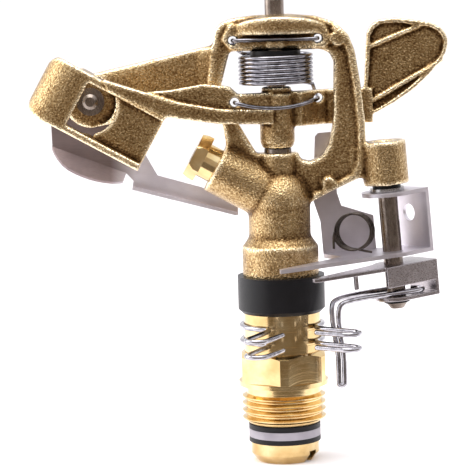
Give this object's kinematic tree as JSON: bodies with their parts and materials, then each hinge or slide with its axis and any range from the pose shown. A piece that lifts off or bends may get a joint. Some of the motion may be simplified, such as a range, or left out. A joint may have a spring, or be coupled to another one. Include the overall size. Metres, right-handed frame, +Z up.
{
  "type": "impact sprinkler",
  "caption": "Part-circle brass impact sprinkler: a turning head on a male-threaded inlet, with a sprung hammer arm, wire trip, stop clips and splash shield.",
  "frame": {"origin": "on the turning axis, at the middle of the inlet thread", "axes": "+Z up the turning axis, the jet towards -X and upwards, the stop clips' finger loops towards -Y"},
  "size_m": [0.1039, 0.0393, 0.1156],
  "materials": {
    "turned_brass": "turned, polished",
    "cast_brass": "sand cast and shot blasted",
    "black_rubber": "matt",
    "grey_slip_plastic": "matt",
    "black_plastic": "satin",
    "clear_plastic": "satin",
    "stainless_wire": "drawn, bright",
    "spring_steel": "drawn",
    "steel_pin": "ground",
    "steel_washer": "stamped",
    "stainless_sheet": "stamped, bright"
  },
  "bodies": {
    "riser": {"inlet_nipple": "turned_brass", "upper_seal": "black_rubber"},
    "lower_clip": {"lower_stop_clip": "stainless_wire"},
    "upper_clip": {"upper_stop_clip": "stainless_wire"},
    "head": {"spindle_tube": "turned_brass", "spindle_collar": "turned_brass", "slip_ring": "grey_slip_plastic", "lower_seal": "black_rubber", "thrust_washer": "grey_slip_plastic", "bearing_spring": "stainless_wire", "dust_sleeve": "black_plastic", "body_casting": "cast_brass", "flow_vane": "clear_plastic", "nozzle": "turned_brass", "fulcrum_pin": "steel_pin", "hub_washer": "steel_washer", "hammer_spring": "spring_steel", "spring_seat": "black_plastic", "shield_pin": "steel_pin", "shield_washer": "steel_washer", "trip_shaft": "steel_pin", "trip_seal_ring": "black_rubber", "trip_washer": "steel_washer", "shaft_end_washer": "black_plastic"},
    "arm": {"hammer_arm": "cast_brass", "arm_bushing": "black_plastic"},
    "shield": {"splash_shield": "stainless_sheet"},
    "bracket": {"trip_bracket": "stainless_sheet", "toggle_spring": "spring_steel"},
    "lever": {"trip_lever": "stainless_sheet", "trip_wire": "stainless_wire"}
  },
  "joints": [
    {"name": "head_turn", "type": "hinge", "parent": "riser", "child": "head", "pos_m": [0, 0, 0], "axis": [0, 0, 1], "range_deg": [0, 245]},
    {"name": "lower_clip_turn", "type": "hinge", "parent": "riser", "child": "lower_clip", "pos_m": [0, 0, 0.01677], "axis": [0, 0, 1], "range_deg": [-20, 0]},
    {"name": "upper_clip_turn", "type": "hinge", "parent": "riser", "child": "upper_clip", "pos_m": [0, 0, 0.02052], "axis": [0, 0, 1], "range_deg": [-20, 0]},
    {"name": "arm_swing", "type": "hinge", "parent": "head", "child": "arm", "pos_m": [0, 0, 0.07164], "axis": [0, 0, 1], "range_deg": [0, 75], "stiffness_Nm_per_rad": 0.02, "springref_deg": -28.65, "deforming": ["hammer_spring"]},
    {"name": "shield_tilt", "type": "hinge", "parent": "head", "child": "shield", "pos_m": [-0.0464, 0.009, 0.07702], "axis": [0, 1, 0], "range_deg": [-8, 8]},
    {"name": "trip_lever_turn", "type": "hinge", "parent": "head", "child": "lever", "pos_m": [0.0264, 0, 0.06032], "axis": [-0.0698, 0, 0.9976], "range_deg": [-8, 0]},
    {"name": "trip_bracket_turn", "type": "hinge", "parent": "head", "child": "bracket", "pos_m": [0.0264, 0, 0.06032], "axis": [-0.0698, 0, 0.9976], "range_deg": [0, 8], "deforming": ["toggle_spring"]}
  ],
  "couplings": [
    {"joint": "trip_bracket_turn", "follows": "trip_lever_turn", "ratio": -1}
  ]
}
